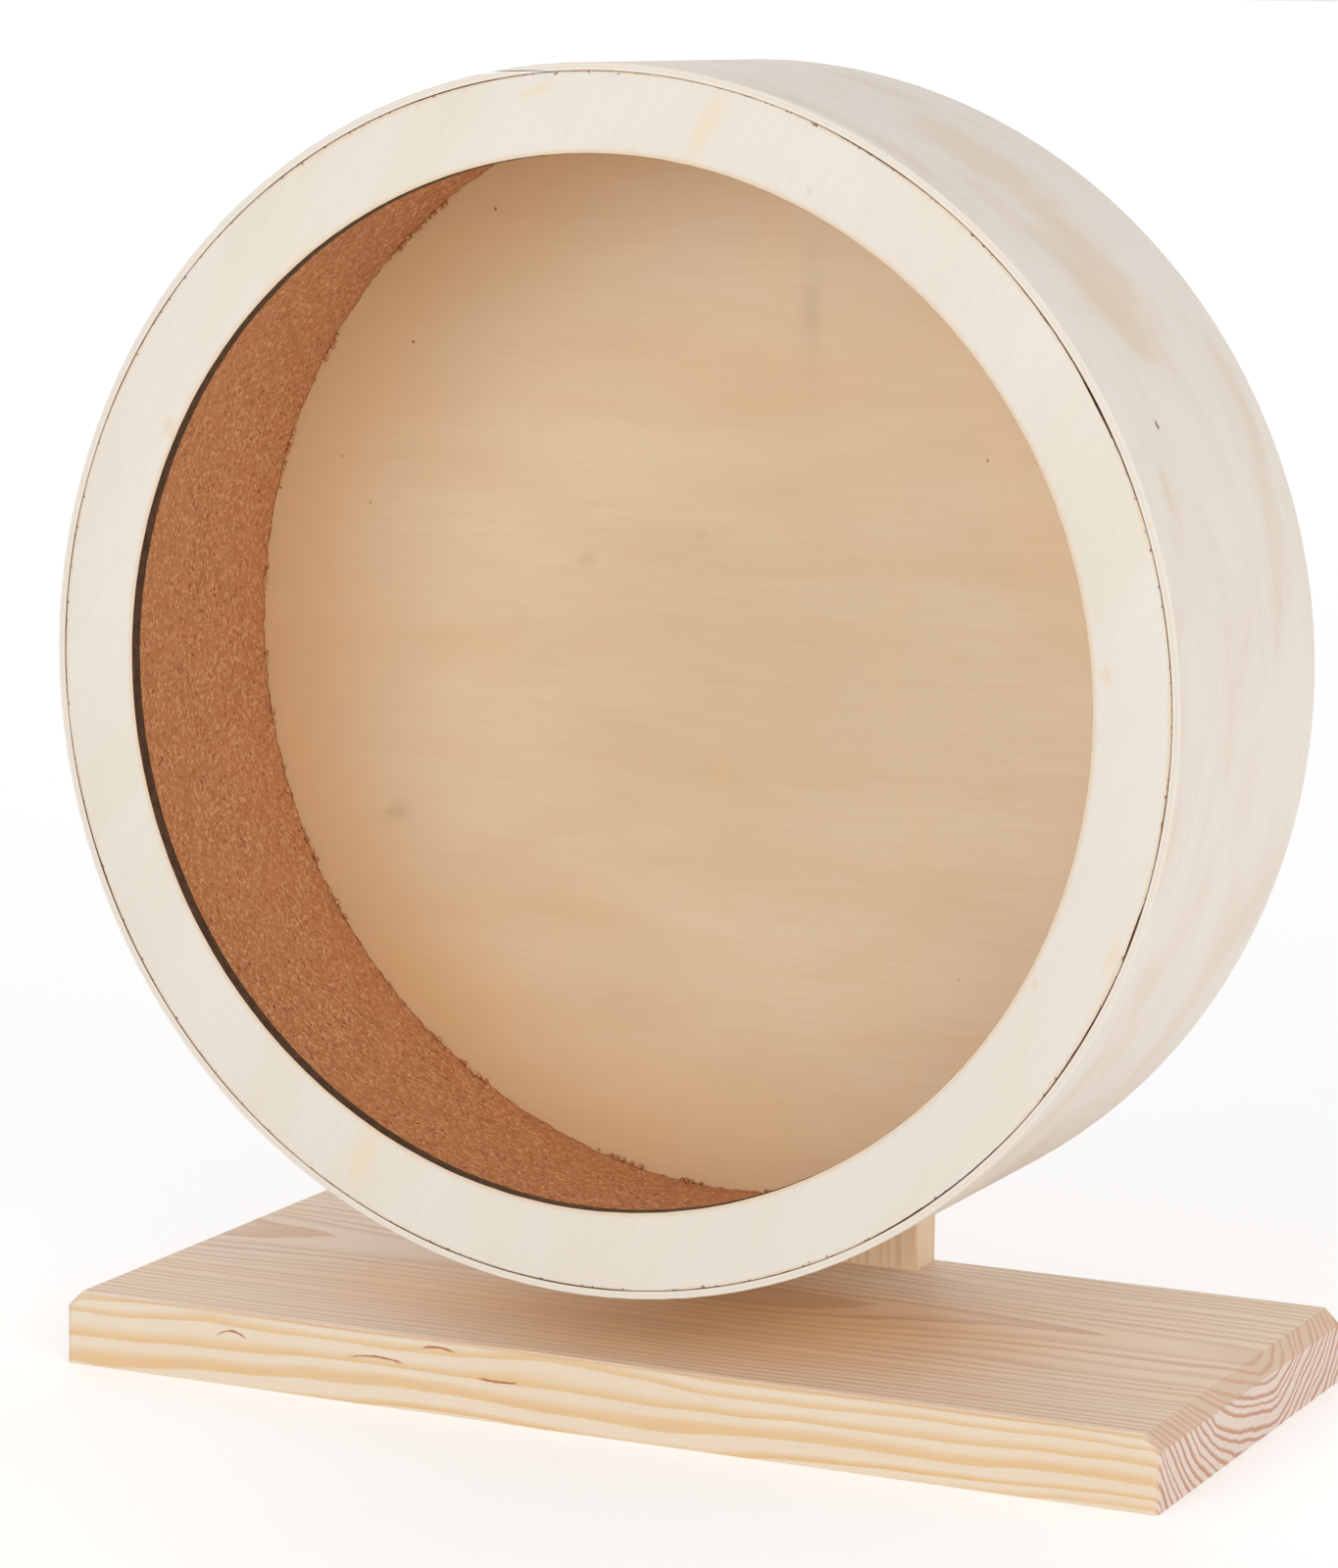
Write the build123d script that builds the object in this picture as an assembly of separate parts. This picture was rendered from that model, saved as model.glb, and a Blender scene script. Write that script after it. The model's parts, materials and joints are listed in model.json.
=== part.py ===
from build123d import *
import math
import os

# A wooden running wheel for a small pet, on a low pine stand. Sizes are in millimetres.
# The origin is the centre of the base board's underside. Z is up, X runs along the board,
# and Y runs from the wheel's open front to the post behind it.

# Base board
board_length = 219.0
board_depth = 100.0
board_thickness = 14.0
board_end_chamfer = 3.0
board_front_edge_radius = 1.2

# Upright post, flush with the board's back edge
post_width = 54.0
post_thickness = 10.0
post_above_axle = 25.0
post_shoulder_radius = 9.0
post_edge_radius = 0.8

# Screws that hold the post, driven up through the board
screw_count = 2
screw_spacing = 28.0
screw_diameter = 3.5
screw_length = 35.0
screw_tip_length = 6.0
screw_tip_diameter = 0.4
screw_head_diameter = 7.0
screw_head_height = 2.6
screw_recess_below_face = 0.4
screw_hole_clearance = 0.2
cross_slot_length = 3.8
cross_slot_width = 0.9
cross_slot_depth = 1.4

# Drum: a bent strip, a ring in its front edge and a disc in its back edge
rim_outer_radius = 110.0
band_thickness = 1.5
band_edge_ease = 0.25
drum_depth = 72.0
ground_clearance = 12.2
ring_thickness = 3.0
ring_width = 14.3
ring_opening_ease = 0.3
joint_line_ease = 0.35
panel_thickness = 4.0
cork_thickness = 4.0
cork_seam_gap = 0.4
cork_seam_angle = -70.0

# Scarf joint of the strip, by the angle round the drum from +X towards +Z
scarf_inner_angle = 94.5
scarf_outer_angle = 102.0
scarf_slit = 0.25
scarf_overrun_angle = 0.6

# Hub, and the room that the wheel needs
hub_radius = 28.0
hub_edge_radius = 2.5
hub_lip = 1.5
hub_lip_radius = 7.0
hub_running_gap = 1.0
head_clearance = 0.7

# Two ball bearings, side by side
bearing_outer_radius = 9.5
bearing_width = 6.0
ball_count = 7
ball_diameter = 3.5
race_clearance = 0.05
race_opening = 2.65
shield_thickness = 0.3
shield_inset = 0.2
shield_seat_depth = 0.35
shield_running_gap = 0.2
cage_radial_width = 1.8
cage_pocket_clearance = 0.1
cage_web = 0.4
cage_open_side = 0.8

# Axle bolt, washers and lock nut
bolt_diameter = 6.0
bolt_head_diameter = 10.5
bolt_head_height = 3.3
bolt_head_round = 2.4
bolt_socket_flats = 4.0
bolt_socket_depth = 2.0
bolt_end_chamfer = 0.7
bolt_past_nut = 2.4
bolt_hole_clearance = 0.15
shim_thickness = 0.5
sleeve_wall = 1.4
washer_radius = 9.0
washer_thickness = 1.6
nut_flats = 10.0
nut_hex_height = 4.6
nut_chamfer = 0.6
nut_collar_height = 1.4
nut_collar_radius = 4.6
nut_collar_wall = 0.5
nut_collar_rim = 0.3

# Heights and radii that follow
axle_z = board_thickness + ground_clearance + rim_outer_radius
band_inner_radius = rim_outer_radius - band_thickness
ring_opening_radius = band_inner_radius - ring_width
cork_inner_radius = band_inner_radius - cork_thickness
bolt_radius = bolt_diameter / 2
bolt_hole_radius = bolt_radius + bolt_hole_clearance
sleeve_radius = bolt_radius + sleeve_wall
ball_radius = ball_diameter / 2
pitch_radius = (bolt_radius + bearing_outer_radius) / 2
inner_shoulder_radius = pitch_radius - race_opening / 2
outer_shoulder_radius = pitch_radius + race_opening / 2

# Places along Y, from the post forwards
post_back_y = board_depth / 2
post_front_y = post_back_y - post_thickness
hub_back_y = post_front_y - hub_running_gap
rear_bearing_y = hub_back_y - hub_lip - bearing_width
front_bearing_y = rear_bearing_y - bearing_width
shim_y = front_bearing_y - shim_thickness
bolt_head_y = shim_y - bolt_head_height
drum_back_y = bolt_head_y - head_clearance
drum_front_y = drum_back_y - drum_depth
panel_front_y = drum_back_y - panel_thickness
ring_back_y = drum_front_y + ring_thickness
post_middle_y = post_back_y - post_thickness / 2

# Places along Y, from the post backwards
nut_y = post_back_y + washer_thickness
nut_collar_y = nut_y + nut_hex_height
bolt_end_y = nut_collar_y + nut_collar_height + bolt_past_nut


def axle_plane(y):
    """Plane square to the axle, its sketches extrude towards +Y."""
    return Plane(origin=(0, y, axle_z), x_dir=(1, 0, 0), z_dir=(0, 1, 0))


def disc(y_start, y_end, radius, bore=0.0):
    """A disc or a tube round the axle, between two places along Y."""
    section = Circle(radius)
    if bore > 0:
        section -= Circle(bore)
    return extrude(axle_plane(y_start) * section, y_end - y_start)


def circles_at(solid, y, radius):
    """The solid's round edges that lie at one place along Y and have one radius."""
    def matches(edge):
        return (edge.geom_type == GeomType.CIRCLE
                and math.isclose(edge.radius, radius, abs_tol=1e-4)
                and math.isclose(edge.center(CenterOf.BOUNDING_BOX).Y, y, abs_tol=1e-4))
    return solid.edges().filter_by(matches)


def on_drum(radius, angle):
    """A point of the drum's cross section, in the axle plane's own coordinates."""
    turn = math.radians(-angle)
    return (radius * math.cos(turn), radius * math.sin(turn))


def base_screw(x):
    """A countersunk wood screw, head down, its tip pointing up."""
    head_radius = screw_head_diameter / 2
    shank_radius = screw_diameter / 2
    profile = Polyline(
        (0, 0),
        (head_radius, 0),
        (shank_radius, screw_head_height),
        (shank_radius, screw_length - screw_tip_length),
        (screw_tip_diameter / 2, screw_length),
        (0, screw_length),
        close=True,
    )
    screw = revolve(Plane.XZ * make_face(profile), Axis.Z)
    for turn in (0, 90):
        slot = Box(cross_slot_length, cross_slot_width, cross_slot_depth)
        screw -= Rot(0, 0, turn) * Pos(0, 0, cross_slot_depth / 2) * slot
    return Pos(x, post_middle_y, screw_recess_below_face) * screw


def screw_hole(x):
    """The board's hole for one screw: a cone for the head and a clear bore above it."""
    head_radius = screw_head_diameter / 2
    bore_radius = screw_diameter / 2 + screw_hole_clearance
    slope = (head_radius - screw_diameter / 2) / screw_head_height
    mouth_radius = head_radius + screw_hole_clearance
    cone_end = screw_recess_below_face + (mouth_radius - bore_radius) / slope
    profile = Polyline(
        (0, 0),
        (mouth_radius, 0),
        (mouth_radius, screw_recess_below_face),
        (bore_radius, cone_end),
        (bore_radius, board_thickness),
        (0, board_thickness),
        close=True,
    )
    hole = revolve(Plane.XZ * make_face(profile), Axis.Z)
    return Pos(x, post_middle_y, 0) * hole


def screw_places():
    """Where the screws stand along X, evenly spaced about the middle."""
    first = -screw_spacing * (screw_count - 1) / 2
    return [first + screw_spacing * index for index in range(screw_count)]


def base_board():
    half_length = board_length / 2
    chamfer_z = board_thickness - board_end_chamfer
    profile = Polyline(
        (-half_length, 0),
        (half_length, 0),
        (half_length, chamfer_z),
        (half_length - board_end_chamfer, board_thickness),
        (board_end_chamfer - half_length, board_thickness),
        (-half_length, chamfer_z),
        close=True,
    )
    board = extrude(Plane.XZ.offset(-board_depth / 2) * make_face(profile), board_depth)
    front_face = board.faces().sort_by(Axis.Y)[0]
    board = fillet(front_face.edges().sort_by(Axis.Z)[1:], board_front_edge_radius)
    for x in screw_places():
        board -= screw_hole(x)
    return board


def upright_post():
    height = axle_z + post_above_axle - board_thickness
    middle_z = board_thickness + height / 2
    post = Pos(0, post_middle_y, middle_z) * Box(post_width, post_thickness, height)
    top_corners = post.edges().filter_by(Axis.Y).group_by(Axis.Z)[-1]
    post = fillet(top_corners, post_shoulder_radius)
    upright_edges = post.edges().filter_by(Axis.Z)
    post = fillet(upright_edges, post_edge_radius)
    post -= disc(post_front_y, post_back_y, bolt_hole_radius)
    for x in screw_places():
        post -= base_screw(x)
    return post


def base_screws():
    return Compound(children=[base_screw(x) for x in screw_places()])


def rim_band():
    band = disc(drum_front_y, drum_back_y, rim_outer_radius, band_inner_radius)
    outer_edges = circles_at(band, drum_front_y, rim_outer_radius)
    outer_edges += circles_at(band, drum_back_y, rim_outer_radius)
    band = chamfer(outer_edges, band_edge_ease)
    slope = (scarf_outer_angle - scarf_inner_angle) / band_thickness
    overrun = scarf_overrun_angle / slope
    middle_angle = (scarf_inner_angle + scarf_outer_angle) / 2
    middle_radius = (band_inner_radius + rim_outer_radius) / 2
    cut_line = ThreePointArc(
        on_drum(band_inner_radius - overrun, scarf_inner_angle - scarf_overrun_angle),
        on_drum(middle_radius, middle_angle),
        on_drum(rim_outer_radius + overrun, scarf_outer_angle + scarf_overrun_angle),
    )
    slit = extrude(axle_plane(drum_front_y) * trace(cut_line, scarf_slit), drum_depth)
    return band - slit


def front_ring():
    ring = disc(drum_front_y, ring_back_y, band_inner_radius, ring_opening_radius)
    ring = chamfer(circles_at(ring, drum_front_y, band_inner_radius), joint_line_ease)
    opening_edges = circles_at(ring, drum_front_y, ring_opening_radius)
    opening_edges += circles_at(ring, ring_back_y, ring_opening_radius)
    return fillet(opening_edges, ring_opening_ease)


def back_panel():
    panel = disc(panel_front_y, drum_back_y, band_inner_radius)
    return chamfer(circles_at(panel, drum_back_y, band_inner_radius), joint_line_ease)


def cork_liner():
    liner = disc(ring_back_y, panel_front_y, band_inner_radius, cork_inner_radius)
    depth = panel_front_y - ring_back_y
    seam = Pos(band_inner_radius, 0, 0) * Box(2 * cork_thickness + 2, depth, cork_seam_gap)
    seam = Pos(0, ring_back_y + depth / 2, axle_z) * Rot(0, -cork_seam_angle, 0) * seam
    return liner - seam


def hub_block():
    hub = disc(drum_back_y, hub_back_y, hub_radius)
    hub = fillet(circles_at(hub, hub_back_y, hub_radius), hub_edge_radius)
    hub -= disc(drum_back_y, hub_back_y - hub_lip, bearing_outer_radius)
    hub -= disc(hub_back_y - hub_lip, hub_back_y, hub_lip_radius)
    return hub


def ball_track(middle_y, section_radius):
    """The round groove that the balls run in."""
    track = Torus(pitch_radius, section_radius)
    return Pos(0, middle_y, axle_z) * Rot(90, 0, 0) * track


def bearing_outer_ring(y):
    back_y = y + bearing_width
    ring = disc(y, back_y, bearing_outer_radius, outer_shoulder_radius)
    seat_radius = outer_shoulder_radius + shield_seat_depth
    seat_depth = shield_inset + shield_thickness
    ring -= disc(y, y + seat_depth, seat_radius)
    ring -= disc(back_y - seat_depth, back_y, seat_radius)
    return ring - ball_track(y + bearing_width / 2, ball_radius + race_clearance)


def bearing_inner_ring(y):
    ring = disc(y, y + bearing_width, inner_shoulder_radius, bolt_radius)
    return ring - ball_track(y + bearing_width / 2, ball_radius + race_clearance)


def ball_places(y):
    """One bearing's ball places, evenly round the pitch circle, X outwards on each."""
    places = []
    for index in range(ball_count):
        turn = Pos(0, y + bearing_width / 2, axle_z) * Rot(0, 360 * index / ball_count, 0)
        places.append(turn * Pos(pitch_radius, 0, 0))
    return places


def bearing_balls(y):
    return Compound(children=[place * Sphere(ball_radius) for place in ball_places(y)])


def bearing_cage(y):
    """A crown cage: round pockets open towards -Y, and a thin web behind the balls."""
    pocket_radius = ball_radius + cage_pocket_clearance
    middle_y = y + bearing_width / 2
    cage = disc(
        middle_y - cage_open_side,
        middle_y + pocket_radius + cage_web,
        pitch_radius + cage_radial_width / 2,
        pitch_radius - cage_radial_width / 2,
    )
    pocket = Rot(0, 90, 0) * Cylinder(pocket_radius, 2 * cage_radial_width)
    return cage - [place * pocket for place in ball_places(y)]


def bearing_shields(y):
    outer_radius = outer_shoulder_radius + shield_seat_depth
    bore = inner_shoulder_radius + shield_running_gap
    front_y = y + shield_inset
    back_y = y + bearing_width - shield_inset
    front = disc(front_y, front_y + shield_thickness, outer_radius, bore)
    back = disc(back_y - shield_thickness, back_y, outer_radius, bore)
    return Compound(children=[front, back])


def axle_bolt():
    head = disc(bolt_head_y, shim_y, bolt_head_diameter / 2)
    head = fillet(circles_at(head, bolt_head_y, bolt_head_diameter / 2), bolt_head_round)
    socket = RegularPolygon(bolt_socket_flats / 2, 6, major_radius=False)
    head -= extrude(axle_plane(bolt_head_y) * socket, bolt_socket_depth)
    shank = disc(shim_y, bolt_end_y, bolt_radius)
    shank = chamfer(circles_at(shank, bolt_end_y, bolt_radius), bolt_end_chamfer)
    return head + shank


def head_shim():
    return disc(shim_y, front_bearing_y, sleeve_radius, bolt_hole_radius)


def axle_spacer():
    return disc(rear_bearing_y + bearing_width, post_front_y, sleeve_radius, bolt_hole_radius)


def post_washer():
    return disc(post_back_y, nut_y, washer_radius, bolt_hole_radius)


def lock_nut():
    hexagon = RegularPolygon(nut_flats / 2, 6, major_radius=False)
    nut = extrude(axle_plane(nut_y) * hexagon, nut_hex_height)
    corner_radius = nut_flats / 2 / math.cos(math.pi / 6)
    blank = disc(nut_y, nut_collar_y, corner_radius)
    blank = chamfer(circles_at(blank, nut_y, corner_radius), nut_chamfer)
    blank = chamfer(circles_at(blank, nut_collar_y, corner_radius), nut_chamfer)
    collar_end_y = nut_collar_y + nut_collar_height
    collar = disc(nut_collar_y, collar_end_y, nut_collar_radius)
    collar = chamfer(circles_at(collar, collar_end_y, nut_collar_radius), nut_collar_rim)
    nut = (nut & blank) + collar
    nut -= disc(nut_y, collar_end_y, bolt_radius)
    return nut - disc(nut_collar_y, collar_end_y, nut_collar_radius - nut_collar_wall)


def lock_nut_insert():
    collar_end_y = nut_collar_y + nut_collar_height
    outer_radius = nut_collar_radius - nut_collar_wall
    return disc(nut_collar_y, collar_end_y - nut_collar_rim, outer_radius, bolt_radius)


nodes = {
    "base_board": base_board(),
    "upright_post": upright_post(),
    "base_screws": base_screws(),
    "rim_band": rim_band(),
    "front_ring": front_ring(),
    "back_panel": back_panel(),
    "cork_liner": cork_liner(),
    "hub_block": hub_block(),
    "axle_bolt": axle_bolt(),
    "head_shim": head_shim(),
    "axle_spacer": axle_spacer(),
    "post_washer": post_washer(),
    "lock_nut": lock_nut(),
    "lock_nut_insert": lock_nut_insert(),
}
for place, y in (("front", front_bearing_y), ("rear", rear_bearing_y)):
    nodes[place + "_bearing_outer_ring"] = bearing_outer_ring(y)
    nodes[place + "_bearing_inner_ring"] = bearing_inner_ring(y)
    nodes[place + "_bearing_balls"] = bearing_balls(y)
    nodes[place + "_bearing_cage"] = bearing_cage(y)
    nodes[place + "_bearing_shields"] = bearing_shields(y)

os.makedirs("parts", exist_ok=True)
for name, solid in nodes.items():
    export_step(solid, "parts/" + name + ".step")
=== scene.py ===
import bpy
import bmesh
import json
import math
import random
from mathutils import Matrix, Quaternion, Vector, noise


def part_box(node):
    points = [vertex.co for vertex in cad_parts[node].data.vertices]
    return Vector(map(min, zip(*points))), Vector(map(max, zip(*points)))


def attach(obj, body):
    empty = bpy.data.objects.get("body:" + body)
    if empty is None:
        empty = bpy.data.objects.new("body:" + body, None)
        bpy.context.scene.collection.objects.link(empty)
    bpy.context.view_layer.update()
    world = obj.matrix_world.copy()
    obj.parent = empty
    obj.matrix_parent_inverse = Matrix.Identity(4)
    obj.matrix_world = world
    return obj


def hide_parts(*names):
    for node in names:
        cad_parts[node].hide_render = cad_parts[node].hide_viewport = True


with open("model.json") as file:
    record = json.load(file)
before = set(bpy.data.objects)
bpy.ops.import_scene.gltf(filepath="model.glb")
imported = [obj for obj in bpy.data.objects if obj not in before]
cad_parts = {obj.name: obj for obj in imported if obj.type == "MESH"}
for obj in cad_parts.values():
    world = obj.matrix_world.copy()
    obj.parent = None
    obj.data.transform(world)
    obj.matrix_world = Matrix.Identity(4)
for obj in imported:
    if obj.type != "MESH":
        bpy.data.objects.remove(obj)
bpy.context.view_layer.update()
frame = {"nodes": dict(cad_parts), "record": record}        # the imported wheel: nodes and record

mm = 0.001
nodes = frame["nodes"]
scene = bpy.context.scene
bpy.ops.object.select_all(action="DESELECT")

# Places read from the frame
bandLow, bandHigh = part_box("rim_band")
ringLow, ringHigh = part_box("front_ring")
corkLow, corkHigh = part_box("cork_liner")
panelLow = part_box("back_panel")[0]
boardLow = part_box("base_board")[0]
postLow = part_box("upright_post")[0]
axleZ = (bandLow.z + bandHigh.z) / 2
rimRadius = (bandHigh.z - bandLow.z) / 2
ringRadius = (ringHigh.z - ringLow.z) / 2
print("frame loaded,", len(nodes), "nodes")


# Small helpers for node trees

def feed(tree, socket, value):
    if isinstance(value, bpy.types.Node):
        value = value.outputs[0]
    if isinstance(value, bpy.types.NodeSocket):
        tree.links.new(value, socket)
    else:
        socket.default_value = value


def addNode(tree, kind, inputs=None, **settings):
    made = tree.nodes.new("ShaderNode" + kind)
    for key, value in settings.items():
        setattr(made, key, value)
    for key, value in (inputs or {}).items():
        feed(tree, made.inputs[key], value)
    return made


def calc(tree, operation, a, b=0.0, c=0.0, clamp=False):
    made = addNode(tree, "Math", {0: a, 1: b, 2: c}, operation=operation, use_clamp=clamp)
    return made.outputs[0]


def smooth(tree, value, low, high, toLow=0.0, toHigh=1.0):
    made = addNode(tree, "MapRange", {"Value": value, "From Min": low, "From Max": high,
                                      "To Min": toLow, "To Max": toHigh},
                   interpolation_type="SMOOTHSTEP")
    return made.outputs["Result"]


def mixColor(tree, factor, a, b, blend="MIX"):
    made = addNode(tree, "Mix", data_type="RGBA", blend_type=blend)
    feed(tree, made.inputs["Factor"], factor)
    feed(tree, made.inputs[6], a)
    feed(tree, made.inputs[7], b)
    return made.outputs[2]


def noiseAt(tree, vector, scale, detail=2.0, rough=0.5, warp=0.0):
    return addNode(tree, "TexNoise", {"Vector": vector, "Scale": scale, "Detail": detail,
                                      "Roughness": rough, "Distortion": warp})


def stretched(tree, vector, scale, place=(0, 0, 0), turn=(0, 0, 0)):
    made = addNode(tree, "Mapping", {"Vector": vector, "Location": place, "Rotation": turn,
                                     "Scale": scale}, vector_type="POINT")
    return made.outputs[0]


def makeGroup(name, ins, outs, build):
    tree = bpy.data.node_groups.new(name, "ShaderNodeTree")
    for label, kind, value in ins:
        made = tree.interface.new_socket(label, in_out="INPUT", socket_type="NodeSocket" + kind)
        made.default_value = value
    for label, kind in outs:
        tree.interface.new_socket(label, in_out="OUTPUT", socket_type="NodeSocket" + kind)
    inner = tree.nodes.new("NodeGroupInput")
    outer = tree.nodes.new("NodeGroupOutput")
    for label, value in build(tree, inner.outputs).items():
        feed(tree, outer.inputs[label], value)
    return tree


def useGroup(tree, group, inputs):
    made = tree.nodes.new("ShaderNodeGroup")
    made.node_tree = group
    for key, value in inputs.items():
        feed(tree, made.inputs[key], value)
    return made.outputs


def newMaterial(name, roughness=0.6, specular=0.4):
    made = bpy.data.materials.new(name)
    made.use_nodes = True
    tree = made.node_tree
    shader = tree.nodes["Principled BSDF"]
    shader.inputs["Roughness"].default_value = roughness
    shader.inputs["Specular IOR Level"].default_value = specular
    return made, tree, shader


def placeInMm(tree, centre=(0, 0, 0)):
    # object coordinates in millimetres, measured from a centre given in metres
    coords = addNode(tree, "TexCoord").outputs["Object"]
    shift = tuple(-c * 1000 for c in centre)
    return stretched(tree, coords, (1000, 1000, 1000), shift)


def facingOf(tree, axis):
    # how far a face points along one axis
    normal = addNode(tree, "TexCoord").outputs["Normal"]
    return addNode(tree, "SeparateXYZ", {0: normal}).outputs[axis]


def bumpFrom(tree, height, strength, distance):
    made = addNode(tree, "Bump", {"Height": height, "Strength": strength, "Distance": distance})
    return made.outputs[0]


# Node groups shared by the woods

def buildGrowthRings(tree, given):
    # X runs along the log, and the pith is a nearly straight line beside it
    parts = addNode(tree, "SeparateXYZ", {0: given["Vector"]})
    slow = noiseAt(tree, stretched(tree, given["Vector"], (0.009, 0.03, 0.03)), 1.0, 1.0)
    slowParts = addNode(tree, "SeparateColor", {0: slow.outputs["Color"]})
    quick = noiseAt(tree, stretched(tree, given["Vector"], (0.028, 0.13, 0.13)), 1.0, 2.0)
    ripple = calc(tree, "MULTIPLY", calc(tree, "SUBTRACT", quick, 0.5), given["Ripple"])
    drift = calc(tree, "MULTIPLY", parts.outputs["X"], given["Lean"])
    across = calc(tree, "SUBTRACT", parts.outputs["Y"], given["Pith Y"])
    across = calc(tree, "SUBTRACT", across, calc(tree, "MULTIPLY", parts.outputs["X"], given["Veer"]))
    shiftY = calc(tree, "MULTIPLY", calc(tree, "SUBTRACT", slowParts.outputs[0], 0.5), given["Wander"])
    across = calc(tree, "ADD", across, shiftY)
    up = calc(tree, "SUBTRACT", parts.outputs["Z"], given["Pith Z"])
    up = calc(tree, "SUBTRACT", up, drift)
    shiftZ = calc(tree, "MULTIPLY", calc(tree, "SUBTRACT", slowParts.outputs[1], 0.5), given["Wander"])
    up = calc(tree, "ADD", up, shiftZ)
    flat = addNode(tree, "CombineXYZ", {"X": across, "Y": up, "Z": 0.0})
    radius = addNode(tree, "VectorMath", {0: flat}, operation="LENGTH").outputs["Value"]
    radius = calc(tree, "ADD", radius, ripple)
    pace = addNode(tree, "TexNoise", {"W": radius, "Scale": 0.17, "Detail": 1.0}, noise_dimensions="1D")
    count = calc(tree, "DIVIDE", radius, given["Spacing"])
    count = calc(tree, "ADD", count, calc(tree, "MULTIPLY", pace, given["Uneven"]))
    step = calc(tree, "FRACT", count)
    whole = calc(tree, "FLOOR", count)
    tone = addNode(tree, "TexWhiteNoise", {"W": whole}, noise_dimensions="1D").outputs["Value"]
    rise = smooth(tree, step, given["Late Start"], 0.9)
    fall = smooth(tree, step, 0.94, 1.0, 1.0, 0.0)
    late = calc(tree, "MULTIPLY", rise, fall)
    return {"Late": late, "Tone": tone}


growthRings = makeGroup(
    "growthRings",
    [("Vector", "Vector", (0, 0, 0)), ("Pith Y", "Float", 0.0), ("Pith Z", "Float", 40.0),
     ("Lean", "Float", 0.0), ("Veer", "Float", 0.0), ("Spacing", "Float", 2.3), ("Uneven", "Float", 1.2),
     ("Wander", "Float", 4.0), ("Ripple", "Float", 1.0), ("Late Start", "Float", 0.35)],
    [("Late", "Float"), ("Tone", "Float")],
    buildGrowthRings,
)


def buildFibre(tree, given):
    # fine lines along X, broken up lengthwise
    longLines = noiseAt(tree, stretched(tree, given["Vector"], (0.035, 1.1, 1.1)), 1.0, 3.0, 0.6)
    shortLines = noiseAt(tree, stretched(tree, given["Vector"], (0.16, 3.2, 3.2)), 1.0, 2.0, 0.6)
    cloud = noiseAt(tree, stretched(tree, given["Vector"], (0.012, 0.05, 0.05)), 1.0, 3.0, 0.55, 0.4)
    lines = addNode(tree, "Mix", {0: 0.45, 2: longLines.outputs[0], 3: shortLines.outputs[0]})
    return {"Lines": lines.outputs[0], "Cloud": cloud.outputs[0]}


fibre = makeGroup(
    "fibre",
    [("Vector", "Vector", (0, 0, 0))],
    [("Lines", "Float"), ("Cloud", "Float")],
    buildFibre,
)


def buildSoftMark(tree, given):
    # one soft blot with a ragged rim, at a place, with a half size each way
    away = addNode(tree, "VectorMath", {0: given["Vector"], 1: given["Place"]}, operation="SUBTRACT")
    turned = addNode(tree, "VectorRotate", {"Vector": away, "Axis": (0, 1, 0), "Angle": given["Turn"]},
                     rotation_type="AXIS_ANGLE")
    scaled = addNode(tree, "VectorMath", {0: turned, 1: given["Size"]}, operation="DIVIDE")
    distance = addNode(tree, "VectorMath", {0: scaled}, operation="LENGTH").outputs["Value"]
    rag = noiseAt(tree, scaled, 2.2, 2.0)
    distance = calc(tree, "ADD", distance, calc(tree, "MULTIPLY", calc(tree, "SUBTRACT", rag, 0.5), 0.9))
    return {"Mask": smooth(tree, distance, 1.0, given["Core"], 0.0, 1.0)}


softMark = makeGroup(
    "softMark",
    [("Vector", "Vector", (0, 0, 0)), ("Place", "Vector", (0, 0, 0)), ("Size", "Vector", (1, 1, 1)),
     ("Turn", "Float", 0.0), ("Core", "Float", 0.2)],
    [("Mask", "Float")],
    buildSoftMark,
)


def buildSpecks(tree, given):
    # sparse tiny dots: only a few cells of a fine cell pattern carry one
    cells = addNode(tree, "TexVoronoi", {"Vector": given["Vector"], "Scale": given["Scale"]})
    chance = addNode(tree, "SeparateColor", {0: cells.outputs["Color"]})
    chosen = calc(tree, "LESS_THAN", chance.outputs[0], given["Share"])
    size = calc(tree, "MULTIPLY_ADD", chance.outputs[1], 0.05, 0.03)
    dot = calc(tree, "LESS_THAN", cells.outputs["Distance"], size)
    return {"Mask": calc(tree, "MULTIPLY", chosen, dot)}


specks = makeGroup(
    "specks",
    [("Vector", "Vector", (0, 0, 0)), ("Scale", "Float", 0.15), ("Share", "Float", 0.1)],
    [("Mask", "Float")],
    buildSpecks,
)


def buildAround(tree, given):
    # distance from the axle, with a slow wobble round it for burnt and open joint lines
    parts = addNode(tree, "SeparateXYZ", {0: given["Vector"]})
    flat = addNode(tree, "CombineXYZ", {"X": parts.outputs["X"], "Y": parts.outputs["Z"], "Z": 0.0})
    radius = addNode(tree, "VectorMath", {0: flat}, operation="LENGTH").outputs["Value"]
    ragged = noiseAt(tree, given["Vector"], 0.55, 4.0, 0.65)
    slow = noiseAt(tree, given["Vector"], 0.035, 2.0, 0.5)
    return {"Radius": radius, "Ragged": ragged.outputs[0], "Slow": slow.outputs[0]}


aroundAxle = makeGroup(
    "aroundAxle",
    [("Vector", "Vector", (0, 0, 0))],
    [("Radius", "Float"), ("Ragged", "Float"), ("Slow", "Float")],
    buildAround,
)


def blot(tree, colour, place, spot, size, tint, strength, turn=0.0, core=0.3):
    # lays one soft stain over a colour
    mask = useGroup(tree, softMark, {"Vector": place, "Place": spot, "Size": size, "Turn": turn,
                                     "Core": core})
    return mixColor(tree, calc(tree, "MULTIPLY", mask["Mask"], strength), colour, tint)


print("node groups made")


# Helpers for modelled pieces, each finished at the origin

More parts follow.
